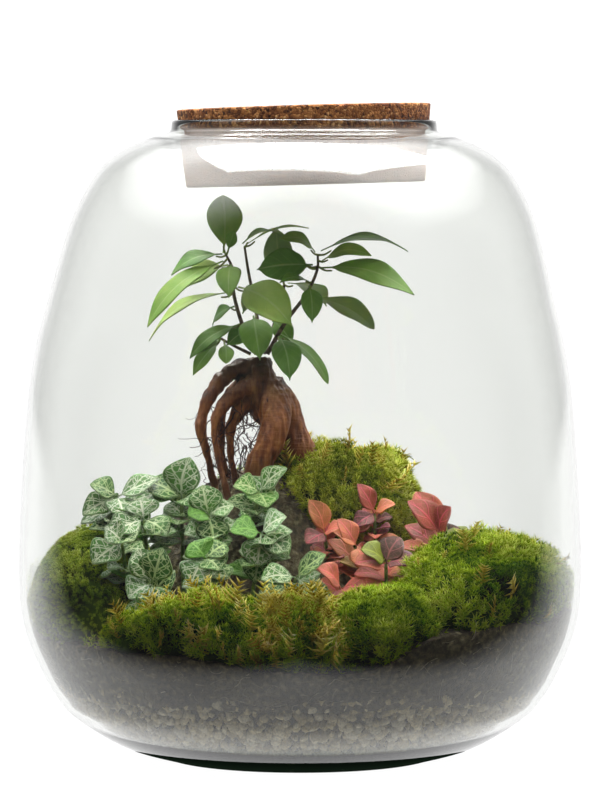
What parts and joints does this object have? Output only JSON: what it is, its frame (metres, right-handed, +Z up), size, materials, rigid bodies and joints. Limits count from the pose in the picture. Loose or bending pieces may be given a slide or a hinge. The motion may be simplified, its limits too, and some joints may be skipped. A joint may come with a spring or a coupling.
{
  "type": "glass plant terrarium",
  "caption": "Egg-shaped glass jar with a cork lid, planted with a small ginseng fig, white and red nerve plants and moss on soil and gravel.",
  "frame": {"origin": "centre of the jar's foot, on the surface it stands on", "axes": "+Z up along the jar's axis, -Y towards the side it is looked at from, +X to the right"},
  "size_m": [0.282, 0.282, 0.3282],
  "materials": {
    "jar_glass": "clear, smooth, faintly green",
    "cork": "pressed cork granules, matt",
    "gravel": "angular grit, matt",
    "soil": "dark potting soil, matt",
    "moss": "living moss, matt",
    "golden_moss": "living moss, matt",
    "root_bark": "smooth thin bark",
    "twig_bark": "thin bark",
    "fig_leaf": "waxy leaf",
    "white_nerve_leaf": "leaf with pale veins",
    "red_nerve_leaf": "leaf with pink veins"
  },
  "bodies": {
    "root": {"cork_lid": "cork", "fig_branch_back": "twig_bark", "fig_branch_left": "twig_bark", "fig_branch_low_left": "twig_bark", "fig_branch_middle": "twig_bark", "fig_branch_right": "twig_bark", "fig_leaf_01": "fig_leaf", "fig_leaf_02": "fig_leaf", "fig_leaf_03": "fig_leaf", "fig_leaf_04": "fig_leaf", "fig_leaf_05": "fig_leaf", "fig_leaf_06": "fig_leaf", "fig_leaf_07": "fig_leaf", "fig_leaf_08": "fig_leaf", "fig_leaf_09": "fig_leaf", "fig_leaf_10": "fig_leaf", "fig_leaf_11": "fig_leaf", "fig_leaf_12": "fig_leaf", "fig_leaf_13": "fig_leaf", "fig_leaf_14": "fig_leaf", "fig_leaf_15": "fig_leaf", "fig_leaf_16": "fig_leaf", "fig_leaf_17": "fig_leaf", "fig_leaf_18": "fig_leaf", "fig_leaf_19": "fig_leaf", "fig_leaf_20": "fig_leaf", "fig_leaf_21": "fig_leaf", "fig_leaf_22": "fig_leaf", "fig_leaf_23": "fig_leaf", "fig_leaf_24": "fig_leaf", "fig_leaf_25": "fig_leaf", "fig_leaf_26": "fig_leaf", "fig_trunk_and_roots": "root_bark", "glass_jar": "jar_glass", "gravel_bed": "gravel", "moss_cushion_left": "moss", "moss_cushion_right": "moss", "moss_mound_back": "moss", "moss_patch_front": "moss", "moss_patch_right": "moss", "moss_tuft_golden": "golden_moss", "red_nerve_plant_shoot_01": "red_nerve_leaf", "red_nerve_plant_shoot_02": "red_nerve_leaf", "red_nerve_plant_shoot_03": "red_nerve_leaf", "red_nerve_plant_shoot_04": "red_nerve_leaf", "red_nerve_plant_shoot_05": "red_nerve_leaf", "red_nerve_plant_shoot_06": "red_nerve_leaf", "soil_bed": "soil", "white_nerve_plant_shoot_01": "white_nerve_leaf", "white_nerve_plant_shoot_02": "white_nerve_leaf", "white_nerve_plant_shoot_03": "white_nerve_leaf", "white_nerve_plant_shoot_04": "white_nerve_leaf", "white_nerve_plant_shoot_05": "white_nerve_leaf", "white_nerve_plant_shoot_06": "white_nerve_leaf", "white_nerve_plant_shoot_07": "white_nerve_leaf", "white_nerve_plant_shoot_08": "white_nerve_leaf", "white_nerve_plant_shoot_09": "white_nerve_leaf", "white_nerve_plant_shoot_10": "white_nerve_leaf"}
  },
  "joints": []
}
